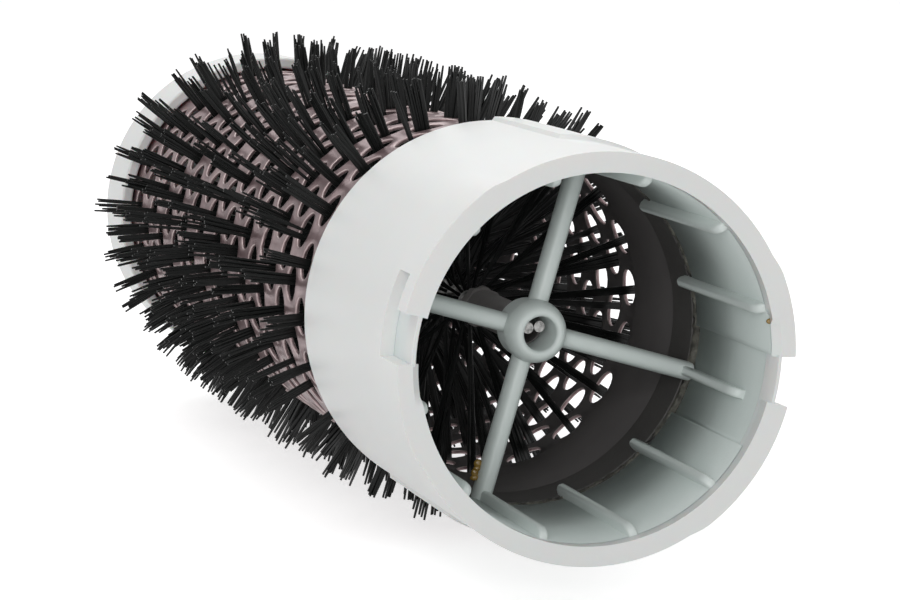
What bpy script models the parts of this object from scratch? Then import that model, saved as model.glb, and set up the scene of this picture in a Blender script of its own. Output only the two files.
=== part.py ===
# Round brush head of a hot air brush, lying along +Y with its open collar at the origin.
# Metres, +Z up. The origin is the centre of the collar's rim plane, where the handle's air
# outlet meets the head. Angles run from +X towards +Z.

import math
import random

import bmesh
import bpy
from mathutils import Matrix, Vector

# Clearances
SEAT_GAP = 0.0003        # between pieces that are glued, pressed or stacked together
RUNNING_GAP = 0.0002     # between the turning tip and the pin that it turns on

# Collar: the white shell that takes the handle
COLLAR_OUTER_R = 0.0205
COLLAR_LENGTH = 0.0337
COLLAR_WALL = 0.00095
RIM_LIP_LENGTH = 0.0009
RIM_CHAMFER = 0.0003
PAD_HEIGHT = 0.0004
PAD_ARC = 30.0
PAD_FRONT = 0.0129
SLOT_ENTRY_ARC = (164.0, 178.0)
SLOT_LEG_ARC = (154.0, 178.0)
SLOT_LEG_FRONT = 0.0025
SLOT_LEG_WIDTH = 0.0032

# Inner frame: ribbed liner, four spokes and hub in one moulding
LINER_WALL = 0.0008
LINER_REAR = 0.0197
CHANNEL_DEPTH = 0.0004
CHANNEL_ARC = (-31.5, -1.5)
SPOKE_ANGLE = -17.0
SPOKES = 4
SPOKE_R = 0.001
SPOKE_DEPTH = 0.0026
RIBS = 12
RIB_HEIGHT = 0.0011
RIB_THICKNESS = 0.001
RIB_OVERHANG = 0.0022
CHANNEL_RIB_FRONT = 0.0062
HUB_R = 0.0033
HUB_BORE_R = 0.0018
HUB_FRONT = 0.0169
HUB_DOME = 0.0022        # length of the hub's rounded front, up to the spokes
HUB_LENGTH = 0.0048

# Barrel and what seats it
GLUE_LENGTH = 0.0006
INSULATOR_LENGTH = 0.0053
BARREL_WALL = 0.0006
PLAIN_BAND = 0.0041      # of the barrel, between the collar and the first row of holes
ROW_PITCH = 0.0042
ROWS = 20
HOLES_AROUND = 20
FIRST_HOLE_ANGLE = 2.0
HOLE_HALF_ARC = 0.0023
HOLE_HALF_LENGTH = 0.0018
BARREL_REAR_BAND = 0.0084

# Twisted stem and the bristles that it grips
WIRE_R = 0.00062
WIRE_HELIX_R = 0.0008
WIRE_PITCH = 0.016
WIRE_POINTS_PER_TURN = 8
WIRE_SET_BACK = 0.0019   # of the wires' cut ends behind the hub's front
WIRE_SEAT_DEPTH = 0.0052
SLEEVE_WALL = 0.0004
SLEEVE_ROOT_GAP = 0.0027 # of bare stem between the sleeve and the first roots
SLEEVE_FLANGE = 0.0002
SLEEVE_FLANGE_LENGTH = 0.0012
ROOT_WALL = 0.0008
ROOT_LENGTH = 0.0056
ROWS_PER_RING = 2
BRISTLE_TIP_R = 0.0251
SEED = 7                 # of how the bundles differ
FILLED_SHARE = 0.76      # of the holes that hold a bundle
STRANDS = (3, 5)         # fewest and most in a bundle
STRAND_R = 0.00021
STRAND_SPACING = 0.00042 # between the bristles of a bundle, at the tips
BUNDLE_ROOT_HALF_WIDTH = 0.00015
BUNDLE_LEAN = 0.0005     # most that a bundle's tip stands off the straight line outwards
BUNDLE_SHORTFALL = 0.0012

# Far end: cap, pin and turning cool tip
CAP_WALL = 0.0014
CAP_BAND_LENGTH = 0.0094
CAP_END_WALL = 0.0015
CAP_BOSS_R = 0.0034
CAP_BOSS_LENGTH = 0.008
PIN_R = 0.0012
PIN_SEAT_DEPTH = 0.002
PIN_HEAD_R = 0.0024
PIN_HEAD_LENGTH = 0.0009
WASHER_R = 0.0045
WASHER_THICKNESS = 0.0004
TIP_R = 0.0118
TIP_LENGTH = 0.0085
TIP_FLOOR = 0.0052
TIP_EDGE = 0.0012

# Mesh fineness
ROUND_SEGMENTS = 48
TIP_SEGMENTS = 24
SMALL_SEGMENTS = 16
SPOKE_SEGMENTS = 10
ARC_STEPS = 3
SHARP_EDGE_DEGREES = 35
MERGE_DISTANCE = 1e-7

# What follows from the sizes above
COLLAR_INNER_R = COLLAR_OUTER_R - COLLAR_WALL
SEAT_OUTER_R = COLLAR_INNER_R - SEAT_GAP
LINER_INNER_R = SEAT_OUTER_R - LINER_WALL
LINER_FRONT = RIM_LIP_LENGTH + SEAT_GAP
HUB_REAR = HUB_FRONT + HUB_LENGTH
SPOKE_CENTRE_Y = HUB_FRONT + HUB_DOME + SPOKE_DEPTH / 2
RIB_CREST_R = LINER_INNER_R - RIB_HEIGHT
GLUE_FRONT = LINER_REAR + SEAT_GAP
INSULATOR_FRONT = GLUE_FRONT + GLUE_LENGTH + SEAT_GAP
BARREL_FRONT = INSULATOR_FRONT + INSULATOR_LENGTH + SEAT_GAP
PERFORATION_START = COLLAR_LENGTH + PLAIN_BAND
PERFORATION_END = PERFORATION_START + ROWS * ROW_PITCH
BARREL_REAR = PERFORATION_END + BARREL_REAR_BAND
HALF_CELL = 180.0 / HOLES_AROUND
CAP_REAR = BARREL_REAR + SEAT_GAP + CAP_END_WALL
CAP_FRONT = CAP_REAR - CAP_BAND_LENGTH
CAP_INNER_R = SEAT_OUTER_R + SEAT_GAP
CAP_OUTER_R = CAP_INNER_R + CAP_WALL
CAP_FLOOR = CAP_REAR - CAP_END_WALL
BOSS_FRONT = CAP_FLOOR - CAP_BOSS_LENGTH
WIRE_FRONT = HUB_FRONT + WIRE_SET_BACK
WIRE_REAR = BOSS_FRONT + WIRE_SEAT_DEPTH
WIRE_ENVELOPE_R = WIRE_HELIX_R + WIRE_R
ROOT_BORE_R = WIRE_ENVELOPE_R + SEAT_GAP
SLEEVE_FRONT = HUB_REAR + SEAT_GAP
FIRST_ROOTS_FRONT = PERFORATION_START + (ROWS_PER_RING * ROW_PITCH - ROOT_LENGTH) / 2
SLEEVE_LENGTH = FIRST_ROOTS_FRONT - SLEEVE_ROOT_GAP - SLEEVE_FRONT
SLEEVE_REAR = SLEEVE_FRONT + SLEEVE_LENGTH
ROOT_OUTER_R = ROOT_BORE_R + ROOT_WALL
WASHER_FRONT = CAP_REAR + SEAT_GAP
TIP_FRONT = WASHER_FRONT + WASHER_THICKNESS + SEAT_GAP
PIN_FRONT = CAP_REAR - PIN_SEAT_DEPTH
PIN_HEAD_FRONT = TIP_FRONT + TIP_FLOOR + RUNNING_GAP


def clear_scene():
    for item in list(bpy.data.objects):
        bpy.data.objects.remove(item, do_unlink=True)


def make_material(name, color, roughness, metallic=0.0):
    material = bpy.data.materials.new(name)
    material.use_nodes = True
    shader = material.node_tree.nodes["Principled BSDF"]
    shader.inputs["Base Color"].default_value = (*color, 1.0)
    shader.inputs["Roughness"].default_value = roughness
    shader.inputs["Metallic"].default_value = metallic
    return material


def add_object(name, mesh_builder, material=None, parent=None):
    mesh = bpy.data.meshes.new(name)
    bmesh.ops.recalc_face_normals(mesh_builder, faces=mesh_builder.faces)
    mesh_builder.to_mesh(mesh)
    mesh_builder.free()
    mesh.shade_smooth()
    mesh.set_sharp_from_angle(angle=math.radians(SHARP_EDGE_DEGREES))
    piece = bpy.data.objects.new(name, mesh)
    bpy.context.collection.objects.link(piece)
    if material:
        mesh.materials.append(material)
    piece.parent = parent
    return piece


def add_tool(name, mesh_builder):
    tool = add_object(name, mesh_builder)
    tool.hide_render = True
    tool.display_type = "WIRE"
    return tool


def combine(piece, tool, operation):
    step = piece.modifiers.new(tool.name, "BOOLEAN")
    step.operation = operation
    step.solver = "EXACT"
    step.object = tool


def polar(radius, y, degrees):
    angle = math.radians(degrees)
    return Vector((radius * math.cos(angle), y, radius * math.sin(angle)))


def turned(profile, segments, start=0.0):
    # A (radius, y) outline spun once about the Y axis; one that starts on the axis stays open.
    on_axis = profile[0][0] == 0.0
    build = bmesh.new()
    points = [build.verts.new(polar(radius, y, start)) for radius, y in profile]
    edges = [build.edges.new((points[i - 1], points[i])) for i in range(int(on_axis), len(points))]
    bmesh.ops.spin(build, geom=points + edges, cent=(0, 0, 0), axis=(0, -1, 0),
                   angle=math.tau, steps=segments, use_merge=True)
    bmesh.ops.remove_doubles(build, verts=build.verts, dist=MERGE_DISTANCE)
    return build


def sector(inner_r, outer_r, front, rear, arc):
    # A block of a ring between two angles.
    steps = max(2, round((arc[1] - arc[0]) / (360.0 / ROUND_SEGMENTS)))
    build = bmesh.new()
    corners = [(inner_r, front), (outer_r, front), (outer_r, rear), (inner_r, rear)]
    face = build.faces.new([build.verts.new(polar(radius, y, arc[0])) for radius, y in corners])
    bmesh.ops.spin(build, geom=[face], cent=(0, 0, 0), axis=(0, -1, 0),
                   angle=math.radians(arc[1] - arc[0]), steps=steps, use_duplicate=False)
    return build


def opposite(arc):
    return (arc[0] + 180.0, arc[1] + 180.0)


def arc_points(centre_r, centre_y, radius, start, end):
    # Points of a quarter round in the (radius, y) plane.
    points = []
    for step in range(ARC_STEPS + 1):
        angle = math.radians(start + (end - start) * step / ARC_STEPS)
        points.append((centre_r + radius * math.cos(angle), centre_y + radius * math.sin(angle)))
    return points


def fin(outline, thickness, degrees):
    # A flat outline in the (radius, y) plane, given a thickness and turned about Y.
    build = bmesh.new()
    face = build.faces.new([build.verts.new((radius, y, -thickness / 2)) for radius, y in outline])
    grown = bmesh.ops.extrude_face_region(build, geom=[face])
    moved = [item for item in grown["geom"] if isinstance(item, bmesh.types.BMVert)]
    bmesh.ops.translate(build, verts=moved, vec=(0, 0, thickness))
    bmesh.ops.rotate(build, verts=build.verts, matrix=Matrix.Rotation(-math.radians(degrees), 3, "Y"))
    return build


def make_collar(material):
    lip_inner_r = LINER_INNER_R
    outline = [
        (lip_inner_r, 0.0),
        (COLLAR_OUTER_R - RIM_CHAMFER, 0.0),
        (COLLAR_OUTER_R, RIM_CHAMFER),
        (COLLAR_OUTER_R, COLLAR_LENGTH - RIM_CHAMFER),
        (COLLAR_OUTER_R - RIM_CHAMFER, COLLAR_LENGTH),
        (COLLAR_INNER_R, COLLAR_LENGTH),
        (COLLAR_INNER_R, RIM_LIP_LENGTH),
        (lip_inner_r, RIM_LIP_LENGTH),
    ]
    collar = add_object("collar", turned(outline, ROUND_SEGMENTS), material)
    pad_centre = SPOKE_ANGLE + 90.0
    pad_arc = (pad_centre - PAD_ARC / 2, pad_centre + PAD_ARC / 2)
    for side, arc in (("top", pad_arc), ("bottom", opposite(pad_arc))):
        pad = sector(COLLAR_OUTER_R - COLLAR_WALL / 2, COLLAR_OUTER_R + PAD_HEIGHT,
                     PAD_FRONT, COLLAR_LENGTH - RIM_CHAMFER, arc)
        combine(collar, add_tool(side + "_pad", pad), "UNION")
    leg_rear = SLOT_LEG_FRONT + SLOT_LEG_WIDTH
    for side, turn in (("left", lambda arc: arc), ("right", opposite)):
        entry = sector(SEAT_OUTER_R, COLLAR_OUTER_R + COLLAR_WALL,
                       -COLLAR_WALL, leg_rear, turn(SLOT_ENTRY_ARC))
        leg = sector(SEAT_OUTER_R, COLLAR_OUTER_R + COLLAR_WALL,
                     SLOT_LEG_FRONT, leg_rear, turn(SLOT_LEG_ARC))
        combine(collar, add_tool(side + "_slot_entry", entry), "DIFFERENCE")
        combine(collar, add_tool(side + "_slot_leg", leg), "DIFFERENCE")
    return collar


def rib_outline(front):
    seat_r = SEAT_OUTER_R - LINER_WALL / 4
    rear = LINER_REAR + RIB_OVERHANG
    round_r = RIB_HEIGHT / 2
    return (
        [(seat_r, front)]
        + arc_points(RIB_CREST_R + round_r, front + round_r, round_r, 270.0, 180.0)
        + arc_points(RIB_CREST_R + round_r, rear - round_r, round_r, 180.0, 90.0)
        + [
            (LINER_INNER_R - SEAT_GAP, rear),
            (LINER_INNER_R - SEAT_GAP, LINER_REAR - SEAT_GAP),
            (seat_r, LINER_REAR - SEAT_GAP),
        ]
    )


def make_inner_frame(material):
    liner = [
        (LINER_INNER_R, LINER_FRONT),
        (SEAT_OUTER_R, LINER_FRONT),
        (SEAT_OUTER_R, LINER_REAR),
        (LINER_INNER_R, LINER_REAR),
    ]
    frame = add_object("inner_frame", turned(liner, ROUND_SEGMENTS), material)
    for side, arc in (("right", CHANNEL_ARC), ("left", opposite(CHANNEL_ARC))):
        channel = sector(RIB_CREST_R, LINER_INNER_R + CHANNEL_DEPTH, 0.0, LINER_REAR + SEAT_GAP, arc)
        combine(frame, add_tool(side + "_channel", channel), "DIFFERENCE")
    channel_ribs = (0, RIBS // 2)
    for index in range(RIBS):
        front = CHANNEL_RIB_FRONT if index in channel_ribs else LINER_FRONT
        rib = fin(rib_outline(front), RIB_THICKNESS, SPOKE_ANGLE + index * 360.0 / RIBS)
        combine(frame, add_tool("rib_%02d" % (index + 1), rib), "UNION")
    spoke_inner_r = (HUB_R + HUB_BORE_R) / 2
    spoke_outer_r = RIB_CREST_R + RIB_HEIGHT / 2
    for index in range(SPOKES):
        degrees = SPOKE_ANGLE + index * 360.0 / SPOKES
        spoke = bmesh.new()
        bmesh.ops.create_cone(spoke, cap_ends=True, segments=SPOKE_SEGMENTS, radius1=SPOKE_R,
                              radius2=SPOKE_R, depth=spoke_outer_r - spoke_inner_r,
                              matrix=Matrix.Rotation(math.pi / 2, 4, "Y"))
        bmesh.ops.scale(spoke, verts=spoke.verts, vec=(1, SPOKE_DEPTH / (2 * SPOKE_R), 1))
        bmesh.ops.translate(spoke, verts=spoke.verts,
                            vec=((spoke_outer_r + spoke_inner_r) / 2, SPOKE_CENTRE_Y, 0))
        bmesh.ops.rotate(spoke, verts=spoke.verts,
                         matrix=Matrix.Rotation(-math.radians(degrees), 3, "Y"))
        combine(frame, add_tool("spoke_%d" % (index + 1), spoke), "UNION")
    nose_r = HUB_BORE_R + (HUB_R - HUB_BORE_R) / 4
    dome = [(nose_r + (HUB_R - nose_r) * across, HUB_FRONT + HUB_DOME * (1.0 + along))
            for across, along in arc_points(0.0, 0.0, 1.0, 270.0, 360.0)]
    hub = (
        [(HUB_BORE_R, HUB_FRONT + nose_r - HUB_BORE_R)]
        + dome
        + [(HUB_R, HUB_REAR), (HUB_BORE_R, HUB_REAR)]
    )
    combine(frame, add_tool("hub", turned(hub, SMALL_SEGMENTS)), "UNION")
    return frame


def ring(name, inner_r, outer_r, front, rear, segments, material, start=0.0):
    outline = [(inner_r, front), (outer_r, front), (outer_r, rear), (inner_r, rear)]
    return add_object(name, turned(outline, segments, start), material)


def make_barrel(material):
    # The outer sheet is a lattice of four-cornered cells, each with a four-cornered hole. Every
    # other row is half a cell round, so a cell's corners are the points midway between the
    # holes of its own row and of the rows beside it. The sheet then gets its wall inwards.
    build = bmesh.new()

    def row_y(row):
        return PERFORATION_START + (row + 0.5) * ROW_PITCH

    def spot(y, half_cells):
        return build.verts.new(polar(SEAT_OUTER_R, y, FIRST_HOLE_ANGLE + half_cells * HALF_CELL))

    around = 2 * HOLES_AROUND
    nodes = {}
    for row in range(-1, ROWS + 1):
        for place in range(HOLES_AROUND):
            half_cells = (2 * place + row + 1) % around
            nodes[row, half_cells] = spot(row_y(row), half_cells)
    arc = math.degrees(HOLE_HALF_ARC / SEAT_OUTER_R) / HALF_CELL
    for row in range(ROWS):
        for place in range(HOLES_AROUND):
            middle = (2 * place + row) % around
            corners = [nodes[row - 1, middle], nodes[row, (middle + 1) % around],
                       nodes[row + 1, middle], nodes[row, (middle - 1) % around]]
            rim = [spot(row_y(row) - HOLE_HALF_LENGTH, middle), spot(row_y(row), middle + arc),
                   spot(row_y(row) + HOLE_HALF_LENGTH, middle), spot(row_y(row), middle - arc)]
            for index in range(4):
                build.faces.new((corners[index - 1], corners[index], rim[index], rim[index - 1]))
    for end_y, outer_row, inner_row in ((BARREL_FRONT, -1, 0), (BARREL_REAR, ROWS, ROWS - 1)):
        end = [spot(end_y, half_cells) for half_cells in range(around)]
        for index in range(around):
            edge = [nodes.get((outer_row, i)) or nodes[inner_row, i]
                    for i in (index, (index + 1) % around)]
            build.faces.new((end[index], end[(index + 1) % around], edge[1], edge[0]))
    barrel = add_object("barrel", build, material)
    wall = barrel.modifiers.new("wall", "SOLIDIFY")
    wall.thickness = BARREL_WALL
    wall.offset = -1.0
    return barrel


def make_wire(name, phase, material):
    turns = (WIRE_REAR - WIRE_FRONT) / WIRE_PITCH
    count = math.ceil(turns * WIRE_POINTS_PER_TURN)
    curve = bpy.data.curves.new(name, "CURVE")
    curve.dimensions = "3D"
    curve.bevel_depth = WIRE_R
    curve.bevel_resolution = 1
    curve.use_fill_caps = True
    spline = curve.splines.new("POLY")
    spline.points.add(count)
    for index, point in enumerate(spline.points):
        along = index / count
        place = polar(WIRE_HELIX_R, WIRE_FRONT + along * (WIRE_REAR - WIRE_FRONT),
                      phase + along * turns * 360.0)
        point.co = (*place, 1.0)
    curve.materials.append(material)
    wire = bpy.data.objects.new(name, curve)
    bpy.context.collection.objects.link(wire)
    return wire


def make_sleeve(material):
    inner_r = WIRE_ENVELOPE_R + SEAT_GAP
    outer_r = inner_r + SLEEVE_WALL
    outline = [
        (inner_r, SLEEVE_FRONT),
        (outer_r, SLEEVE_FRONT),
        (outer_r, SLEEVE_REAR - SLEEVE_FLANGE_LENGTH),
        (outer_r + SLEEVE_FLANGE, SLEEVE_REAR - SLEEVE_FLANGE_LENGTH),
        (outer_r + SLEEVE_FLANGE, SLEEVE_REAR),
        (inner_r, SLEEVE_REAR),
    ]
    return add_object("stem_sleeve", turned(outline, SMALL_SEGMENTS), material)


def plan_bundles():
    # For each filled hole: row, place, number of strands, lean round and along, shortfall.
    chance = random.Random(SEED)
    plan = []
    for row in range(ROWS):
        for place in range(HOLES_AROUND):
            filled = chance.random() < FILLED_SHARE
            bundle = (row, place, chance.randint(*STRANDS), chance.uniform(-1, 1),
                      chance.uniform(-1, 1), chance.random())
            if filled:
                plan.append(bundle)
    return plan


def add_bundle(build, bundle):
    # A flat wedge round the strands, from the roots straight out through its hole.
    row, place, count, round_lean, along_lean, shortfall = bundle
    degrees = FIRST_HOLE_ANGLE + (2 * place + row % 2) * HALF_CELL
    centre_y = PERFORATION_START + (row + 0.5) * ROW_PITCH
    root_r = (ROOT_BORE_R + ROOT_OUTER_R) / 2
    tip_r = BRISTLE_TIP_R - BUNDLE_SHORTFALL * shortfall ** 3
    half_width = (count - 1) / 2 * STRAND_SPACING + STRAND_R
    out, side = polar(1.0, 0.0, degrees), polar(1.0, 0.0, degrees + 90.0)
    ends = []
    for radius, half in ((root_r, BUNDLE_ROOT_HALF_WIDTH), (tip_r, half_width)):
        lean = BUNDLE_LEAN * (radius - root_r) / (tip_r - root_r)
        middle = out * radius + side * (round_lean * lean)
        middle.y = centre_y + along_lean * lean
        ends.append([build.verts.new(middle + side * (u * half) + Vector((0, v * STRAND_R, 0)))
                     for u, v in ((-1, -1), (1, -1), (1, 1), (-1, 1))])
    root, tip = ends
    build.faces.new(root[::-1])
    build.faces.new(tip)
    for index in range(4):
        build.faces.new((root[index - 1], root[index], tip[index], tip[index - 1]))


def make_bristle_ring(index, plan, material):
    # A slice of the stem's packed roots with the bundles that leave it in two rows of holes.
    name = "bristle_ring_%02d" % (index + 1)
    first_row = index * ROWS_PER_RING
    centre_y = PERFORATION_START + (first_row + ROWS_PER_RING / 2) * ROW_PITCH
    edge = FIRST_HOLE_ANGLE - HALF_CELL / 2
    roots = ring(name, ROOT_BORE_R, ROOT_OUTER_R, centre_y - ROOT_LENGTH / 2,
                 centre_y + ROOT_LENGTH / 2, HOLES_AROUND, material, edge)
    bundles = bmesh.new()
    for bundle in plan:
        if first_row <= bundle[0] < first_row + ROWS_PER_RING:
            add_bundle(bundles, bundle)
    combine(roots, add_tool(name + "_bundles", bundles), "UNION")
    return roots


def make_end_cap(material):
    bore_r = WIRE_ENVELOPE_R + SEAT_GAP
    wire_pocket = WIRE_REAR + SEAT_GAP
    pin_bore_r = PIN_R + SEAT_GAP
    pin_pocket = PIN_FRONT - SEAT_GAP
    edge = CAP_END_WALL / 2
    outline = (
        [(0.0, wire_pocket), (bore_r, wire_pocket), (bore_r, BOSS_FRONT), (CAP_BOSS_R, BOSS_FRONT),
         (CAP_BOSS_R, CAP_FLOOR), (CAP_INNER_R, CAP_FLOOR), (CAP_INNER_R, CAP_FRONT),
         (CAP_OUTER_R, CAP_FRONT)]
        + arc_points(CAP_OUTER_R - edge, CAP_REAR - edge, edge, 0.0, 90.0)
        + [(pin_bore_r, CAP_REAR), (pin_bore_r, pin_pocket), (0.0, pin_pocket)]
    )
    return add_object("end_cap", turned(outline, ROUND_SEGMENTS), material)


def make_tip_pin(material):
    outline = [
        (0.0, PIN_FRONT),
        (PIN_R, PIN_FRONT),
        (PIN_R, PIN_HEAD_FRONT),
        (PIN_HEAD_R, PIN_HEAD_FRONT),
        (PIN_HEAD_R, PIN_HEAD_FRONT + PIN_HEAD_LENGTH),
        (0.0, PIN_HEAD_FRONT + PIN_HEAD_LENGTH),
    ]
    return add_object("tip_pin", turned(outline, SMALL_SEGMENTS), material)


def make_cool_tip(material, pivot):
    # Built about the pivot, which lies on the pin's axis at the tip's front face.
    bore_r = PIN_R + RUNNING_GAP
    well_r = PIN_HEAD_R + RUNNING_GAP
    outline = (
        [(bore_r, 0.0), (TIP_R - TIP_EDGE, 0.0)]
        + arc_points(TIP_R - TIP_EDGE, TIP_EDGE, TIP_EDGE, 270.0, 360.0)[1:]
        + arc_points(TIP_R - 2 * TIP_EDGE, TIP_LENGTH - 2 * TIP_EDGE, 2 * TIP_EDGE, 0.0, 90.0)
        + [(well_r, TIP_LENGTH), (well_r, TIP_FLOOR), (bore_r, TIP_FLOOR)]
    )
    return add_object("cool_tip", turned(outline, TIP_SEGMENTS), material, pivot)


def main():
    clear_scene()
    white = make_material("collar_white", (0.80, 0.81, 0.80), 0.38)
    pale = make_material("frame_pale", (0.52, 0.57, 0.55), 0.42)
    charcoal = make_material("insulator_charcoal", (0.030, 0.027, 0.027), 0.6)
    glue = make_material("glue_beige", (0.30, 0.24, 0.15), 0.7)
    rose_metal = make_material("barrel_rose", (0.33, 0.25, 0.25), 0.35, 0.8)
    steel = make_material("stem_steel", (0.55, 0.55, 0.55), 0.3, 1.0)
    sleeve_grey = make_material("sleeve_grey", (0.16, 0.14, 0.14), 0.5)
    nylon = make_material("bristle_nylon", (0.012, 0.012, 0.013), 0.35)

    make_collar(white)
    make_inner_frame(pale)
    ring("glue_seam", LINER_INNER_R + SEAT_GAP, SEAT_OUTER_R, GLUE_FRONT, GLUE_FRONT + GLUE_LENGTH,
         ROUND_SEGMENTS, glue)
    ring("insulator_ring", LINER_INNER_R, SEAT_OUTER_R, INSULATOR_FRONT,
         INSULATOR_FRONT + INSULATOR_LENGTH, ROUND_SEGMENTS, charcoal)
    make_barrel(rose_metal)
    make_wire("stem_wire_a", 0.0, steel)
    make_wire("stem_wire_b", 180.0, steel)
    make_sleeve(sleeve_grey)
    plan = plan_bundles()
    for index in range(ROWS // ROWS_PER_RING):
        make_bristle_ring(index, plan, nylon)
    make_end_cap(white)
    make_tip_pin(steel)
    ring("tip_washer", PIN_R + SEAT_GAP, WASHER_R, WASHER_FRONT, WASHER_FRONT + WASHER_THICKNESS,
         SMALL_SEGMENTS, steel)
    pivot = bpy.data.objects.new("tip_pivot", None)
    pivot.location = (0.0, TIP_FRONT, 0.0)
    bpy.context.collection.objects.link(pivot)
    make_cool_tip(white, pivot)


main()
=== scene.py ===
import math
import random

import bmesh
import bpy
from mathutils import Matrix, Vector


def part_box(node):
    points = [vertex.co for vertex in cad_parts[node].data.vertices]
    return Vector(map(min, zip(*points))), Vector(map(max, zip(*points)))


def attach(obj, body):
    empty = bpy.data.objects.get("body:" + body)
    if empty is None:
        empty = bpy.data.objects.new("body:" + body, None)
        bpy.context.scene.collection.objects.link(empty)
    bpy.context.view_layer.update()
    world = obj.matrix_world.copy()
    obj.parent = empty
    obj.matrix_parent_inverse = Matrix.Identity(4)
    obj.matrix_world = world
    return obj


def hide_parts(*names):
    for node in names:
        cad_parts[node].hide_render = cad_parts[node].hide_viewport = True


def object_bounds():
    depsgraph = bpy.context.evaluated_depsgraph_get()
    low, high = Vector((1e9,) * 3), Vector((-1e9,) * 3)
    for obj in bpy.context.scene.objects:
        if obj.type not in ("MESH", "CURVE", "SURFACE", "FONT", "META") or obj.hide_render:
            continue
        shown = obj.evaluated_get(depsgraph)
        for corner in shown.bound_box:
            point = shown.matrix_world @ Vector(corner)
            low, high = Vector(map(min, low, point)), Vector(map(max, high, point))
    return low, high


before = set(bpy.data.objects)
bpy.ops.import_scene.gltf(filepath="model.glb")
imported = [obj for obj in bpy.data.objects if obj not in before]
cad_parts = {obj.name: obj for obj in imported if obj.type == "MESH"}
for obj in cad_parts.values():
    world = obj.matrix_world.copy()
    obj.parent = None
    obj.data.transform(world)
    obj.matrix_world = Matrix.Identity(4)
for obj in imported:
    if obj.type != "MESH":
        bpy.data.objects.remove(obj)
cadLow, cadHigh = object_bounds()
random.seed(7)
mm = 0.001
weldGap = 0.001 * mm  # points closer than this are one
nearBy = 0.1 * mm  # a point this close to a radius lies on it
angleGap = 0.01  # degrees, so that an arc takes in the points that were cut at its ends
sharpAngle = math.radians(40)
bothSides = (0.0, 180.0)  # the collar's features repeat after half a turn

# Places read from the frame
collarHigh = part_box("collar")[1]
glueLow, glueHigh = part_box("glue_seam")
insulatorLow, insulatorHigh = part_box("insulator_ring")
barrelLow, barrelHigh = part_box("barrel")
sleeveLow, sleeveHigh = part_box("stem_sleeve")
wireLow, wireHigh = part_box("stem_wire_a")
capLow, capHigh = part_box("end_cap")
washerLow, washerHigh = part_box("tip_washer")
pinLow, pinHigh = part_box("tip_pin")
tipLow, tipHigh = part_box("cool_tip")
linerWall = 0.8 * mm
rimRadius = collarHigh.x
seatRadius = barrelHigh.x  # outside of the barrel, the insulator and the liner
socketRadius = seatRadius - linerWall  # inside of the liner
spokeAngle = -17.0  # of the first spoke and the first rib


def polar(radius, y, degrees):
    angle = math.radians(degrees)
    return Vector((radius * math.cos(angle), y, radius * math.sin(angle)))


def degreesOf(point):
    return math.degrees(math.atan2(point.z, point.x))


def fromAxis(point):
    return Vector((point.x, 0, point.z))


def inArc(point, arc):
    return 0.0 < (degreesOf(point) - arc[0]) % 360.0 < arc[1] - arc[0]


def turned(arc, degrees):
    return (arc[0] + degrees, arc[1] + degrees)


def quarter(steps):
    return [math.radians(90.0 * step / steps) for step in range(steps + 1)]


def vertsOf(geometry):
    return [item for item in geometry if isinstance(item, bmesh.types.BMVert)]


def turnVerts(build, verts, degrees):
    bmesh.ops.rotate(build, verts=verts, cent=(0, 0, 0),
                     matrix=Matrix.Rotation(-math.radians(degrees), 3, "Y"))


def pushOut(vert, height):
    vert.co += fromAxis(vert.co).normalized() * height


def cutAt(build, degrees):
    facing = polar(1.0, 0.0, degrees)
    half = [face for face in build.faces if face.calc_center_median().dot(facing) > 0]
    edges = {edge for face in half for edge in face.edges}
    verts = {vert for face in half for vert in face.verts}
    bmesh.ops.bisect_plane(build, geom=[*verts, *edges, *half], dist=weldGap,
                           plane_co=(0, 0, 0), plane_no=polar(1.0, 0.0, degrees + 90.0))


def spinOutline(build, points, steps, closed):
    verts = [build.verts.new(polar(radius, y, 0.0)) for radius, y in points]
    edges = [build.edges.new((verts[i], verts[i + 1])) for i in range(len(verts) - 1)]
    if closed:
        edges.append(build.edges.new((verts[-1], verts[0])))
    bmesh.ops.spin(build, geom=verts + edges, cent=(0, 0, 0), axis=(0, -1, 0), angle=math.tau,
                   steps=steps, use_merge=True)
    bmesh.ops.remove_doubles(build, verts=build.verts, dist=weldGap)
    bmesh.ops.recalc_face_normals(build, faces=build.faces)


def joinInto(build, part):
    mesh = bpy.data.meshes.new("part")
    part.to_mesh(mesh)
    part.free()
    build.from_mesh(mesh)
    bpy.data.meshes.remove(mesh)


def settle(name, data, body, replaced):
    piece = bpy.data.objects.new(name, data)
    bpy.context.collection.objects.link(piece)
    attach(piece, body)
    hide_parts(*replaced)
    return piece


def addPiece(name, build, materials, body, replaced=()):
    mesh = bpy.data.meshes.new(name)
    build.to_mesh(mesh)
    build.free()
    mesh.shade_smooth()
    mesh.set_sharp_from_angle(angle=sharpAngle)
    for material in materials:
        mesh.materials.append(material)
    return settle(name, mesh, body, replaced)


def roundEdges(piece, width, segments=2, harden=False):
    bevel = piece.modifiers.new("edges", "BEVEL")
    bevel.width = width
    bevel.segments = segments
    bevel.limit_method = "ANGLE"
    bevel.angle_limit = sharpAngle
    bevel.harden_normals = harden
    return bevel


def thicken(piece, wall, evenly=False):
    solid = piece.modifiers.new("wall", "SOLIDIFY")
    solid.thickness = wall
    solid.offset = -1.0  # behind the faces
    solid.use_even_offset = evenly
    return solid


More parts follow.
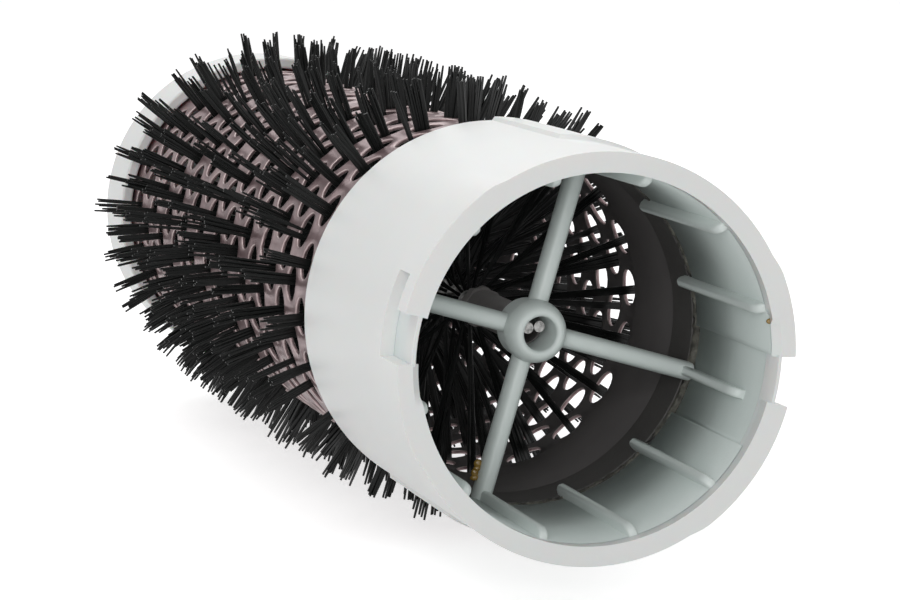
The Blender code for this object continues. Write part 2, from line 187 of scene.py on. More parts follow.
# Finishes: one node group gives each its patches and its grain
detailSet = {"patchDetail": 4.0, "patchLow": 0.35, "patchHigh": 0.7, "grainDetail": 3.0,
             "grainDistance": 0.2 * mm}
colorInputs = {"color": "Color", "shade": "Shade Color"}
detailInputs = {"patchSize": "Patch Size", "patchAmount": "Patch Amount",
                "roughness": "Roughness", "roughnessSpread": "Roughness Spread",
                "grainSize": "Grain Size", "grainHeight": "Grain Height"}
shaderInputs = {"metallic": "Metallic", "specular": "Specular IOR Level", "coat": "Coat Weight",
                "coatRoughness": "Coat Roughness", "subsurface": "Subsurface Weight",
                "subsurfaceScale": "Subsurface Scale"}
plainLook = {"patchSize": 60.0, "patchAmount": 0.3, "roughnessSpread": 0.1, "grainSize": 3000.0,
             "grainHeight": 0.05, "metallic": 0.0, "specular": 0.5, "coat": 0.0,
             "coatRoughness": 0.2, "subsurface": 0.0, "subsurfaceScale": 0.001}


def surfaceGroup(look):
    group = bpy.data.node_groups.new("surfaceDetail", "ShaderNodeTree")
    for names, kind in ((colorInputs, "NodeSocketColor"), (detailInputs, "NodeSocketFloat")):
        for name in names.values():
            group.interface.new_socket(name, in_out="INPUT", socket_type=kind)
    for name, kind in (("Color", "NodeSocketColor"), ("Roughness", "NodeSocketFloat"),
                       ("Normal", "NodeSocketVector")):
        group.interface.new_socket(name, in_out="OUTPUT", socket_type=kind)
    nodes, links = group.nodes, group.links
    given = nodes.new("NodeGroupInput")
    result = nodes.new("NodeGroupOutput")
    place = nodes.new("ShaderNodeTexCoord")
    patches = nodes.new("ShaderNodeTexNoise")
    patches.inputs["Detail"].default_value = look["patchDetail"]
    spread = nodes.new("ShaderNodeMapRange")
    spread.inputs["From Min"].default_value = look["patchLow"]
    spread.inputs["From Max"].default_value = look["patchHigh"]
    amount = nodes.new("ShaderNodeMath")
    amount.operation = "MULTIPLY"
    blend = nodes.new("ShaderNodeMix")
    blend.data_type = "RGBA"
    rough = nodes.new("ShaderNodeMath")
    rough.operation = "MULTIPLY_ADD"
    grain = nodes.new("ShaderNodeTexNoise")
    grain.inputs["Detail"].default_value = look["grainDetail"]
    bump = nodes.new("ShaderNodeBump")
    bump.inputs["Distance"].default_value = look["grainDistance"]
    links.new(place.outputs["Object"], patches.inputs["Vector"])
    links.new(place.outputs["Object"], grain.inputs["Vector"])
    links.new(given.outputs["Patch Size"], patches.inputs["Scale"])
    links.new(given.outputs["Grain Size"], grain.inputs["Scale"])
    links.new(patches.outputs["Fac"], spread.inputs["Value"])
    links.new(spread.outputs["Result"], amount.inputs[0])
    links.new(given.outputs["Patch Amount"], amount.inputs[1])
    links.new(amount.outputs["Value"], blend.inputs["Factor"])
    links.new(given.outputs["Color"], blend.inputs["A"])
    links.new(given.outputs["Shade Color"], blend.inputs["B"])
    links.new(patches.outputs["Fac"], rough.inputs[0])
    links.new(given.outputs["Roughness Spread"], rough.inputs[1])
    links.new(given.outputs["Roughness"], rough.inputs[2])
    links.new(grain.outputs["Fac"], bump.inputs["Height"])
    links.new(given.outputs["Grain Height"], bump.inputs["Strength"])
    links.new(blend.outputs["Result"], result.inputs["Color"])
    links.new(rough.outputs["Value"], result.inputs["Roughness"])
    links.new(bump.outputs["Normal"], result.inputs["Normal"])
    return group


detailGroup = surfaceGroup(detailSet)


def makeMaterial(name, look):
    look = {**plainLook, **look}
    material = bpy.data.materials.new(name)
    material.use_nodes = True
    nodes, links = material.node_tree.nodes, material.node_tree.links
    shader = nodes["Principled BSDF"]
    detail = nodes.new("ShaderNodeGroup")
    detail.node_tree = detailGroup
    for key, socket in shaderInputs.items():
        shader.inputs[socket].default_value = look[key]
    for key, socket in detailInputs.items():
        detail.inputs[socket].default_value = look[key]
    for key, socket in colorInputs.items():
        detail.inputs[socket].default_value = (*look[key], 1.0)
    links.new(detail.outputs["Color"], shader.inputs["Base Color"])
    links.new(detail.outputs["Roughness"], shader.inputs["Roughness"])
    links.new(detail.outputs["Normal"], shader.inputs["Normal"])
    return material


whitePlastic = makeMaterial("whitePlastic", {
    "color": (0.78, 0.79, 0.78), "shade": (0.72, 0.74, 0.73), "patchSize": 35.0,
    "patchAmount": 0.5, "roughness": 0.34, "subsurface": 0.15, "subsurfaceScale": 0.002})
palePlastic = makeMaterial("palePlastic", {
    "color": (0.60, 0.66, 0.64), "shade": (0.54, 0.61, 0.59), "patchSize": 90.0,
    "patchAmount": 0.5, "roughness": 0.36, "grainHeight": 0.08})
# a lighter copy of palePlastic for the same moulding, so the ribs, spokes and hub carry painted
# light
paintedLightPlastic = makeMaterial("paintedLightPlastic", {
    "color": (0.70, 0.755, 0.735), "shade": (0.63, 0.69, 0.67), "patchSize": 120.0,
    "patchAmount": 0.5, "roughness": 0.36, "grainHeight": 0.08})
dullCharcoal = makeMaterial("dullCharcoal", {
    "color": (0.078, 0.074, 0.071), "shade": (0.055, 0.052, 0.050), "patchSize": 140.0,
    "patchAmount": 0.6, "roughness": 0.55, "grainSize": 2200.0, "grainHeight": 0.15})
roseMetal = makeMaterial("roseMetal", {
    "color": (0.30, 0.215, 0.22), "shade": (0.15, 0.095, 0.10), "patchSize": 240.0,
    "patchAmount": 0.8, "metallic": 0.7, "roughness": 0.30, "roughnessSpread": 0.15,
    "grainSize": 5000.0, "grainHeight": 0.12})
# lighter metal for the bevels round the holes: a painted highlight on the edges
paintedEdgeHighlight = makeMaterial("paintedEdgeHighlight", {
    "color": (0.52, 0.43, 0.42), "shade": (0.30, 0.22, 0.22), "patchSize": 260.0,
    "patchAmount": 0.5, "metallic": 0.5, "roughness": 0.28})
# the barrel's inside: partly a dark coating, partly painted shade
darkCoatAndShade = makeMaterial("darkCoatAndShade", {
    "color": (0.105, 0.098, 0.097), "shade": (0.078, 0.073, 0.072), "patchSize": 120.0,
    "patchAmount": 0.6, "roughness": 0.5, "grainHeight": 0.1})
drawnSteel = makeMaterial("drawnSteel", {
    "color": (0.38, 0.38, 0.37), "shade": (0.11, 0.108, 0.105), "patchSize": 3400.0,
    "patchAmount": 0.9, "metallic": 1.0, "roughness": 0.32})
greySleeve = makeMaterial("greySleeve", {
    "color": (0.25, 0.235, 0.23), "shade": (0.15, 0.14, 0.137), "patchSize": 300.0,
    "roughness": 0.5})
blackNylon = makeMaterial("blackNylon", {
    "color": (0.005, 0.0057, 0.0054), "shade": (0.010, 0.0112, 0.0108), "patchSize": 500.0,
    "roughness": 0.26, "specular": 0.2, "grainHeight": 0.0})
driedGlue = makeMaterial("driedGlue", {
    "color": (0.15, 0.145, 0.12), "shade": (0.010, 0.009, 0.008), "patchSize": 700.0,
    "patchAmount": 1.0, "roughness": 0.6, "grainSize": 2500.0, "grainHeight": 0.8})
amberGlue = makeMaterial("amberGlue", {
    "color": (0.28, 0.17, 0.03), "shade": (0.16, 0.09, 0.015), "patchSize": 700.0,
    "roughness": 0.15, "coat": 0.5, "coatRoughness": 0.1})
print("finishes made")

# Collar: the white shell, with its slots, pads, raised sectors and sunken lip
collarShell = {"steps": 180, "wall": 1.4 * mm, "edge": 0.13 * mm,
               "entryArc": (164.0, 178.0), "legArc": (154.0, 178.0), "legFront": 2.5 * mm,
               "legRear": 5.7 * mm, "padArc": (58.0, 88.0), "padFront": 12.9 * mm,
               "padRamp": 0.6 * mm, "padHeight": 0.4 * mm, "padEdge": 0.8,
               "sectorArc": (118.0, 208.0), "sectorHeight": 0.28 * mm,
               "sectorRear": 14.0 * mm, "sectorEdge": 5.0, "sectorSlope": 1.6,
               "lip": 0.75 * mm, "lipArc": (177.9, 188.0), "lipDepth": 0.7 * mm}


def shapeSide(build, side, look):
    pad = turned(look["padArc"], side)
    sector = turned(look["sectorArc"], side)
    lip = turned(look["lipArc"], side)
    for degrees in (pad[0] - look["padEdge"], *pad, pad[1] + look["padEdge"]):
        cutAt(build, degrees)
    for vert in build.verts:
        radius = fromAxis(vert.co).length
        onPad = inArc(vert.co, (pad[0] - angleGap, pad[1] + angleGap))
        if onPad and vert.co.y > look["padFront"] + weldGap:
            pushOut(vert, look["padHeight"])
        if inArc(vert.co, sector) and radius > rimRadius - nearBy:
            turn = (degreesOf(vert.co) - sector[0]) % 360.0
            ends = min(turn, sector[1] - sector[0] - turn) / look["sectorEdge"]
            share = max(0.0, 1.0 - vert.co.y / look["sectorRear"]) * look["sectorSlope"]
            pushOut(vert, look["sectorHeight"] * min(1.0, share) * min(1.0, ends))
        if inArc(vert.co, lip) and radius < socketRadius + nearBy:
            vert.co.y += look["lipDepth"]


def cutSlot(build, side, look):
    gone = []
    for face in build.faces:
        middle = face.calc_center_median()
        entry = inArc(middle, turned(look["entryArc"], side)) and middle.y < look["legRear"]
        leg = inArc(middle, turned(look["legArc"], side))
        if entry or (leg and look["legFront"] < middle.y < look["legRear"]):
            gone.append(face)
    bmesh.ops.delete(build, geom=gone, context="FACES")


def makeCollarShell(look):
    build = bmesh.new()
    spinOutline(build, [(socketRadius, 0.0), (socketRadius + look["lip"], 0.0),
                        (rimRadius, 0.0), (rimRadius, look["legFront"]),
                        (rimRadius, look["legRear"]), (rimRadius, look["padFront"]),
                        (rimRadius, look["padFront"] + look["padRamp"]),
                        (rimRadius, look["sectorRear"]), (rimRadius, collarHigh.y)],
                look["steps"], False)
    if sum(face.normal.y for face in build.faces) > 0:  # the rim has to face forwards
        bmesh.ops.reverse_faces(build, faces=build.faces)
    for side in bothSides:
        shapeSide(build, side, look)
    for side in bothSides:
        cutSlot(build, side, look)
    piece = addPiece("collarShell", build, [whitePlastic], "head", ["collar"])
    thicken(piece, look["wall"], evenly=True)
    roundEdges(piece, look["edge"], harden=True)


makeCollarShell(collarShell)
print("collar made")

# Inner frame: ribbed liner, slot floors, spokes and hub
linerSet = {"steps": 180, "channelArc": (-31.5, -1.5), "channelDepth": 0.4 * mm,
            "stepWidth": 0.35, "front": 1.2 * mm, "rear": 19.7 * mm}
bridgeSet = {"steps": 24, "gap": 0.08 * mm, "front": 0.06 * mm, "rear": 2.2 * mm,
             "tail": 6.1 * mm, "skin": 0.2 * mm, "cover": 0.1 * mm, "chamfer": 0.42 * mm,
             "edge": 0.1 * mm, "overlap": 0.02 * mm, "floorLength": 0.4 * mm,
             "shoulder": (0.1 * mm, 0.9 * mm)}
ribSet = {"count": 12, "height": 1.1 * mm, "thickness": 1.0 * mm, "seat": 0.55 * mm,
          "front": 1.3 * mm, "channelFront": 6.2 * mm, "rear": 21.9 * mm, "round": 0.32 * mm,
          "roundSteps": 3, "nose": 1.7 * mm, "noseRise": 0.95, "noseSteps": 6,
          "tailSlope": 0.5 * mm}
spokeSet = {"count": 4, "radius": 1.0 * mm, "depth": 1.3 * mm, "y": 20.4 * mm, "segments": 28,
            "blunt": 0.75, "outer": socketRadius + 0.25 * mm}
hubSet = {"radius": 3.3 * mm, "bore": 1.78 * mm, "front": 16.9 * mm, "rear": 21.7 * mm,
          "nose": 0.4 * mm, "noseSteps": 6, "dome": 2.2 * mm, "domeSteps": 12,
          "lipDrop": 0.03 * mm, "lipLength": 0.12 * mm, "step": 0.16 * mm,
          "stepPlace": 0.2 * mm, "segments": 72}


def makeLiner(look):
    build = bmesh.new()
    spinOutline(build, [(socketRadius, look["front"]), (socketRadius, look["rear"])],
                look["steps"], False)
    for side in bothSides:
        arc = turned(look["channelArc"], side)
        deep = (arc[0] + look["stepWidth"], arc[1] - look["stepWidth"])
        for degrees in (arc[0], *deep, arc[1]):
            cutAt(build, degrees)
        for vert in build.verts:
            if inArc(vert.co, (deep[0] - angleGap, deep[1] + angleGap)):
                pushOut(vert, look["channelDepth"])
    for face in build.faces:  # the sheet is the inner surface, so it faces the axis
        if face.normal.dot(fromAxis(face.calc_center_median())) > 0:
            face.normal_flip()
    piece = addPiece("innerLiner", build, [palePlastic], "head", ["inner_frame"])
    thicken(piece, linerWall - look["channelDepth"])


def makeBridges(look):
    inner, front, rear, skin = socketRadius + look["gap"], look["front"], look["rear"], look["skin"]
    outer = seatRadius + look["cover"]
    edge, behind = look["edge"], rear + look["floorLength"]
    floor = socketRadius + linerSet["channelDepth"] - look["overlap"]
    outline = [(inner + look["chamfer"], front), (outer - edge, front), (outer, front + edge),
               (outer, look["tail"]), (outer - skin, look["tail"]), (outer - skin, behind),
               (floor, behind), (inner, rear),
               (inner + look["shoulder"][0], look["shoulder"][1])]
    build = bmesh.new()
    for side in bothSides:
        start, end = turned(linerSet["channelArc"], side)
        part = bmesh.new()
        face = part.faces.new([part.verts.new(polar(radius, y, start)) for radius, y in outline])
        bmesh.ops.spin(part, geom=[face], cent=(0, 0, 0), axis=(0, -1, 0),
                       angle=math.radians(end - start), steps=look["steps"],
                       use_duplicate=False)
        bmesh.ops.recalc_face_normals(part, faces=part.faces)
        joinInto(build, part)
    addPiece("slotBridges", build, [whitePlastic], "head", ["collar"])


def addRib(build, degrees, front, look):
    crest = socketRadius - look["height"]
    seat = socketRadius + look["seat"]
    half = look["thickness"] / 2
    slope = look["tailSlope"]
    part = bmesh.new()
    outline = [(seat, front)]
    for angle in quarter(look["noseSteps"]):  # the rounded nose at the rim
        outline.append((crest + look["height"] * look["noseRise"] * (1 - math.sin(angle)),
                        front + look["nose"] * (1 - math.cos(angle))))
    outline += [(crest, look["rear"] - slope), (crest + slope, look["rear"]),
                (seat, look["rear"])]
    face = part.faces.new([part.verts.new((radius, y, -half)) for radius, y in outline])
    grown = bmesh.ops.extrude_face_region(part, geom=[face])["geom"]
    bmesh.ops.translate(part, verts=vertsOf(grown), vec=(0, 0, 2 * half))
    bmesh.ops.recalc_face_normals(part, faces=part.faces)
    rounded = [edge for edge in part.edges
               if abs(edge.verts[0].co.z - edge.verts[1].co.z) < weldGap
               and min(vert.co.x for vert in edge.verts) < socketRadius - nearBy]
    bmesh.ops.bevel(part, geom=rounded, offset=look["round"], segments=look["roundSteps"],
                    profile=0.5, affect="EDGES", material=-1)
    turnVerts(part, part.verts, degrees)
    joinInto(build, part)


def addSpoke(build, degrees, look):
    part = bmesh.new()
    made = bmesh.ops.create_circle(part, cap_ends=True, segments=look["segments"], radius=1.0,
                                   matrix=Matrix.Rotation(math.pi / 2, 4, "Y"))["verts"]
    for vert in made:  # blunt sides, with a round front and back
        vert.co.z = math.copysign(abs(vert.co.z) ** look["blunt"], vert.co.z)
    bmesh.ops.scale(part, verts=made, vec=(1.0, look["depth"], look["radius"]))
    inner = (hubSet["radius"] + hubSet["bore"]) / 2  # inside the hub's wall
    bmesh.ops.translate(part, verts=made, vec=(inner, look["y"], 0))
    grown = bmesh.ops.extrude_face_region(part, geom=part.faces[:])["geom"]
    bmesh.ops.translate(part, verts=vertsOf(grown), vec=(look["outer"] - inner, 0, 0))
    bmesh.ops.recalc_face_normals(part, faces=part.faces)
    turnVerts(part, part.verts, degrees)
    joinInto(build, part)


def addHub(build, look):
    front, bore, radius = look["front"], look["bore"], look["radius"]
    nose = bore + look["nose"]
    points = [(bore, look["rear"]), (bore, front + look["nose"])]
    for angle in quarter(look["noseSteps"])[1:]:  # the rounded mouth of the bore
        points.append((nose - look["nose"] * math.cos(angle),
                       front + look["nose"] * (1 - math.sin(angle))))
    for angle in quarter(look["domeSteps"])[1:]:  # the domed front
        points.append((nose + (radius - nose) * math.sin(angle),
                       front + look["dome"] * (1 - math.cos(angle))))
    ring = front + look["dome"]
    points += [(radius - look["lipDrop"], ring + look["lipLength"]),
               (radius - look["step"], ring + look["stepPlace"]),
               (radius - look["step"], look["rear"])]
    part = bmesh.new()
    spinOutline(part, points, look["segments"], True)
    joinInto(build, part)


def makeSpider():
    build = bmesh.new()
    for index in range(ribSet["count"]):
        inChannel = index in (0, ribSet["count"] // 2)
        front = ribSet["channelFront"] if inChannel else ribSet["front"]
        addRib(build, spokeAngle + index * 360.0 / ribSet["count"], front, ribSet)
    for index in range(spokeSet["count"]):
        addSpoke(build, spokeAngle + index * 360.0 / spokeSet["count"], spokeSet)
    addHub(build, hubSet)
    addPiece("ribsAndSpider", build, [paintedLightPlastic], "head", ["inner_frame"])


makeLiner(linerSet)
makeBridges(bridgeSet)
makeSpider()
print("inner frame made")

# Barrel: perforated tube
barrelSet = {"rows": 20, "around": 20, "frontBand": 4.1 * mm, "rearBand": 8.4 * mm,
             "slotArc": 4.1 * mm, "slotLength": 3.6 * mm, "corners": 16, "wall": 0.42 * mm,
             "phase": 2.0, "edge": 0.09 * mm, "weld": 0.01 * mm}
firstRow = collarHigh.y + barrelSet["frontBand"]
rowPitch = (barrelHigh.y - barrelSet["rearBand"] - firstRow) / barrelSet["rows"]


def rowPlace(row):
    phase = barrelSet["phase"] + (row % 2) * 180.0 / barrelSet["around"]
    return firstRow + (row + 0.5) * rowPitch, phase


def addFirstHole(build, look):
    hole = bmesh.ops.create_circle(build, cap_ends=False, segments=look["corners"],
                                   radius=1.0)["verts"]
    outer = vertsOf(bmesh.ops.extrude_edge_only(build, edges=build.edges[:])["geom"])
    for vert in outer:  # the outer ring is drawn out onto the cell's rectangle
        reach = max(abs(vert.co.x), abs(vert.co.y))
        vert.co = Vector((round(2 * vert.co.x / reach) / 2, round(2 * vert.co.y / reach) / 2, 0))
    halfCell = math.pi * seatRadius / look["around"]
    bmesh.ops.scale(build, verts=hole, vec=(look["slotArc"] / 2, look["slotLength"] / 2, 1))
    bmesh.ops.scale(build, verts=outer, vec=(halfCell, rowPitch / 2, 1))
    y, phase = rowPlace(0)
    for vert in build.verts:
        degrees = phase + math.degrees(vert.co.x / seatRadius)
        vert.co = polar(seatRadius, y + vert.co.y, degrees)


def makeBarrel(look):
    build = bmesh.new()
    addFirstHole(build, look)
    copies = look["around"] - 1
    bmesh.ops.spin(build, geom=build.verts[:] + build.edges[:] + build.faces[:],
                   cent=(0, 0, 0), axis=(0, -1, 0), angle=math.tau * copies / look["around"],
                   steps=copies, use_duplicate=True)
    ring = build.verts[:] + build.edges[:] + build.faces[:]
    for row in range(1, look["rows"]):
        verts = vertsOf(bmesh.ops.duplicate(build, geom=ring)["geom"])
        turnVerts(build, verts, rowPlace(row)[1] - rowPlace(0)[1])
        bmesh.ops.translate(build, verts=verts, vec=(0, row * rowPitch, 0))
    bmesh.ops.remove_doubles(build, verts=build.verts, dist=look["weld"])
    lastRow = firstRow + look["rows"] * rowPitch
    for line, end in ((firstRow, barrelLow.y), (lastRow, barrelHigh.y)):  # the plain bands
        edges = [edge for edge in build.edges if edge.is_boundary
                 and all(abs(vert.co.y - line) < look["weld"] for vert in edge.verts)]
        band = vertsOf(bmesh.ops.extrude_edge_only(build, edges=edges)["geom"])
        bmesh.ops.translate(build, verts=band, vec=(0, end - line, 0))
    bmesh.ops.recalc_face_normals(build, faces=build.faces)
    if sum(face.normal.dot(fromAxis(face.calc_center_median())) for face in build.faces) < 0:
        bmesh.ops.reverse_faces(build, faces=build.faces)
    piece = addPiece("perforatedBarrel", build, [roseMetal, darkCoatAndShade, paintedEdgeHighlight], "head",
                     ["barrel"])
    thicken(piece, look["wall"]).material_offset = 1  # the inside: a dark coating and painted shade
    roundEdges(piece, look["edge"], 1).material = 2  # the hole edges, lighter metal: a painted highlight


makeBarrel(barrelSet)
print("barrel made")

# Seam and insulator
insulatorSet = {"steps": 144, "edge": 0.1 * mm}
seamSet = {"steps": 360, "proud": 0.02 * mm, "edge": 0.1 * mm, "shoulder": 0.3 * mm,
           "spread": 0.25 * mm, "inset": 0.1 * mm, "roughness": 0.13 * mm}


def makeInsulator(look):
    build = bmesh.new()
    spinOutline(build, [(socketRadius, insulatorLow.y), (seatRadius, insulatorLow.y),
                        (seatRadius, insulatorHigh.y), (socketRadius, insulatorHigh.y)],
                look["steps"], True)
    piece = addPiece("insulatorBand", build, [dullCharcoal], "head",
                     ["insulator_ring"])
    roundEdges(piece, look["edge"])


def makeSeam(look):
    inner = socketRadius - look["proud"]
    shoulder = socketRadius + look["shoulder"]
    outer = seatRadius - look["inset"]
    front, rear = glueLow.y - look["spread"], glueHigh.y + look["spread"]
    build = bmesh.new()
    spinOutline(build, [(inner, glueLow.y + look["edge"]), (shoulder, front), (outer, front),
                        (outer, rear), (shoulder, rear), (inner, glueHigh.y - look["edge"])],
                look["steps"], True)
    shift = look["roughness"]
    for vert in build.verts:
        if fromAxis(vert.co).length < socketRadius + nearBy:
            pushOut(vert, random.uniform(-shift, shift))
            vert.co.y += random.uniform(-shift, shift)
    addPiece("glueBead", build, [driedGlue], "head", ["glue_seam"])


makeInsulator(insulatorSet)
makeSeam(seamSet)
print("seam made")

# Stem: twisted wires and sleeve
wireSet = {"radius": 0.6 * mm, "helix": 0.62 * mm, "pitch": 11.0 * mm, "turnPoints": 20,
           "phase": 4.0, "straight": 2.0 * mm, "shift": (-0.2 * mm, 0.45 * mm),
           "eased": 9.0 * mm, "resolution": 4}
sleeveSet = {"steps": 72, "bore": 1.72 * mm, "wall": 0.2 * mm, "flange": 0.36 * mm,
             "flangeLength": 1.3 * mm, "waves": 9, "waveDepth": 0.22 * mm, "edge": 0.12 * mm}


def makeWire(name, node, phase, look):
    length = wireHigh.y - wireLow.y
    count = round(length / look["pitch"] * look["turnPoints"])
    curve = bpy.data.curves.new(name, "CURVE")
    curve.dimensions = "3D"
    curve.bevel_depth = look["radius"]
    curve.bevel_resolution = look["resolution"]
    curve.use_fill_caps = True
    spline = curve.splines.new("POLY")
    spline.points.add(count)
    for index, point in enumerate(spline.points):
        along = index / count * length
        turn = max(0.0, along - look["straight"]) / look["pitch"] * 360.0
        away = 1.0 - min(1.0, along / look["eased"])
        away *= away * (3 - 2 * away)  # the cut ends stand off the axis, and ease back to it
        place = polar(look["helix"], wireLow.y + along, phase + turn)
        place += Vector((look["shift"][0], 0, look["shift"][1])) * away
        point.co = (*place, 1.0)
    curve.materials.append(drawnSteel)
    settle(name, curve, "head", [node])


def makeSleeve(look):
    outer = look["bore"] + look["wall"]
    flange = outer + look["flange"]
    step = sleeveHigh.y - look["flangeLength"]
    build = bmesh.new()
    spinOutline(build, [(look["bore"], sleeveLow.y), (outer, sleeveLow.y), (outer, step),
                        (flange, step), (flange, sleeveHigh.y), (look["bore"], sleeveHigh.y)],
                look["steps"], True)
    for vert in build.verts:  # the flange's edge is pulled into waves by the roots behind it
        if fromAxis(vert.co).length > outer + weldGap:
            wave = math.cos(look["waves"] * math.radians(degreesOf(vert.co)))
            pushOut(vert, -look["waveDepth"] * (0.5 - 0.5 * wave))
    piece = addPiece("stemSleeve", build, [greySleeve], "head", ["stem_sleeve"])
    roundEdges(piece, look["edge"])


makeWire("twistedWireA", "stem_wire_a", wireSet["phase"], wireSet)
makeWire("twistedWireB", "stem_wire_b", wireSet["phase"] + 180.0, wireSet)
makeSleeve(sleeveSet)
print("stem made")

# Bristles
bristleSet = {"seed": 7, "filled": 0.76, "fuller": 0.24, "strands": (3, 5), "added": 2,
              "thickness": 0.4 * mm, "rootRadius": 1.35 * mm, "leaveRadius": 2.12 * mm,
              "tipRadius": cadHigh.z, "short": 1.2 * mm, "shortPower": 3,
              "uneven": 1.1 * mm, "unevenPower": 1.5, "pitch": 0.3 * mm, "lean": 0.85 * mm,
              "open": (0.2, 1.5, 0.8), "stray": 0.08 * mm, "twist": 24.0, "bend": 0.14 * mm,
              "taper": 0.6, "resolution": 1, "rings": 10, "weld": 0.0001 * mm}


def planBundles(look):  # the solids' filled holes, and more of them towards the far end
    chance = random.Random(look["seed"])
    plan = []
    for row in range(barrelSet["rows"]):
        for place in range(barrelSet["around"]):
            share = look["filled"] + look["fuller"] * row / barrelSet["rows"]
            filled = chance.random() < share
            bundle = (row, place, chance.randint(*look["strands"]), chance.uniform(-1, 1),
                      chance.uniform(-1, 1), chance.random())
            if filled:
                plan.append(bundle)
    return plan


def addBundle(curve, bundle, look):
    row, place, count, roundLean, alongLean, shortfall = bundle
    count += look["added"]  # finer strands than the solids have, so more of them
    y, phase = rowPlace(row)
    degrees = phase + place * 360.0 / barrelSet["around"]
    out, side = polar(1.0, 0.0, degrees), polar(1.0, 0.0, degrees + 90.0)
    twist = math.radians(random.gauss(0, 1) * look["twist"])
    opening = random.triangular(*look["open"])
    reach = look["tipRadius"] - look["short"] * shortfall ** look["shortPower"]
    for number in range(count):
        fan = (number - (count - 1) / 2) * look["pitch"] * opening
        tip = reach - random.uniform(0, 1) ** look["unevenPower"] * look["uneven"]
        endAcross = fan * math.cos(twist) + random.gauss(0, 1) * look["stray"]
        endAlong = fan * math.sin(twist) + random.gauss(0, 1) * look["stray"]
        bend = random.uniform(-1, 1) * look["bend"]
        radii = (look["rootRadius"], seatRadius / 2, seatRadius, (seatRadius + tip) / 2, tip)
        spline = curve.splines.new("POLY")
        spline.points.add(len(radii) - 1)
        for point, radius in zip(spline.points, radii):
            share = (radius - look["leaveRadius"]) / (reach - look["leaveRadius"])
            bulge = 1 - (2 * share - 1) ** 2
            shift = (endAcross + roundLean * look["lean"]) * share + bend * bulge
            spot = out * radius + side * shift
            spot.y = y + (endAlong + alongLean * look["lean"]) * share
            point.co = (*spot, 1.0)
        spline.points[-1].radius = look["taper"]


def makeBristles(look):
    curve = bpy.data.curves.new("bristleSplines", "CURVE")
    curve.dimensions = "3D"
    curve.bevel_depth = look["thickness"] / 2
    curve.bevel_resolution = look["resolution"]
    curve.use_fill_caps = True
    for bundle in planBundles(look):
        addBundle(curve, bundle, look)
    thread = bpy.data.objects.new("bristleSplines", curve)
    bpy.context.collection.objects.link(thread)
    bpy.context.view_layer.update()
    seen = thread.evaluated_get(bpy.context.evaluated_depsgraph_get())
    mesh = bpy.data.meshes.new_from_object(seen)
    build = bmesh.new()
    build.from_mesh(mesh)
    bmesh.ops.remove_doubles(build, verts=build.verts, dist=look["weld"])  # closes the ends
    bpy.data.objects.remove(thread)
    bpy.data.curves.remove(curve)
    bpy.data.meshes.remove(mesh)
    nodes = ["bristle_ring_%02d" % (index + 1) for index in range(look["rings"])]
    addPiece("bristles", build, [blackNylon], "head", nodes)


makeBristles(bristleSet)
print("bristles made")

# Far end: cap, cool tip, pin and washer
capSet = {"steps": 144, "wall": 1.4 * mm, "endWall": 1.5 * mm, "edge": 0.275 * mm,
          "edgeSteps": 3, "boss": 3.4 * mm, "bossLength": 8.0 * mm, "wirePocket": 5.5 * mm,
          "bore": 1.72 * mm, "pinBore": 1.5 * mm, "pinPocket": 2.3 * mm}
tipSet = {"steps": 96, "bore": 1.4 * mm, "well": 2.6 * mm, "floor": 5.2 * mm,
          "edge": 1.2 * mm, "edgeSteps": 6, "rearEdge": 2.4 * mm, "rearSteps": 8,
          "groove": 0.25 * mm, "grooveHalf": 0.3 * mm, "grooves": (4.6 * mm, 5.6 * mm)}
pinSet = {"steps": 48, "shaft": 1.2 * mm, "gap": 0.2 * mm, "bevel": (0.5 * mm, 0.25 * mm),
          "dimple": 0.5 * mm, "dimpleFloor": 0.45 * mm, "dimpleDepth": (0.3 * mm, 0.35 * mm)}
washerSet = {"steps": 64, "bore": 1.5 * mm, "edge": 0.08 * mm}


def makeEndCap(look):
    floor = capHigh.y - look["endWall"]
    bossFront = floor - look["bossLength"]
    inner = capHigh.x - look["wall"]
    pocket = bossFront + look["wirePocket"]
    pin = capHigh.y - look["pinPocket"]
    build = bmesh.new()
    spinOutline(build, [(0.0, pocket), (look["bore"], pocket), (look["bore"], bossFront),
                        (look["boss"], bossFront), (look["boss"], floor), (inner, floor),
                        (inner, capLow.y), (capHigh.x, capLow.y), (capHigh.x, capHigh.y),
                        (look["pinBore"], capHigh.y), (look["pinBore"], pin), (0.0, pin)],
                look["steps"], False)
    piece = addPiece("endCap", build, [whitePlastic], "head", ["end_cap"])
    roundEdges(piece, look["edge"], look["edgeSteps"])


def makeCoolTip(look):
    front, rear, radius = tipLow.y, tipHigh.y, tipHigh.x
    edge, rearEdge, half = look["edge"], look["rearEdge"], look["grooveHalf"]
    points = [(look["bore"], front), (radius - edge, front)]
    for angle in quarter(look["edgeSteps"])[1:]:
        points.append((radius - edge + edge * math.sin(angle),
                       front + edge - edge * math.cos(angle)))
    for start in look["grooves"]:
        points += [(radius, front + start - half), (radius - look["groove"], front + start),
                   (radius, front + start + half)]
    for angle in quarter(look["rearSteps"]):
        points.append((radius - rearEdge + rearEdge * math.cos(angle),
                       rear - rearEdge + rearEdge * math.sin(angle)))
    points += [(look["well"], rear), (look["well"], front + look["floor"]),
               (look["bore"], front + look["floor"])]
    build = bmesh.new()
    spinOutline(build, points, look["steps"], True)
    addPiece("coolTip", build, [whitePlastic], "cool_tip", ["cool_tip"])


def makePin(look):
    head, top, shaft = pinHigh.x, pinHigh.y, look["shaft"]
    step = tipLow.y + tipSet["floor"] + look["gap"]
    build = bmesh.new()
    spinOutline(build, [(0.0, pinLow.y), (shaft, pinLow.y), (shaft, step), (head, step),
                        (head, top - look["bevel"][1]), (head - look["bevel"][0], top),
                        (look["dimple"], top),
                        (look["dimpleFloor"], top - look["dimpleDepth"][0]),
                        (0.0, top - look["dimpleDepth"][1])], look["steps"], False)
    addPiece("tipPin", build, [drawnSteel], "head", ["tip_pin"])


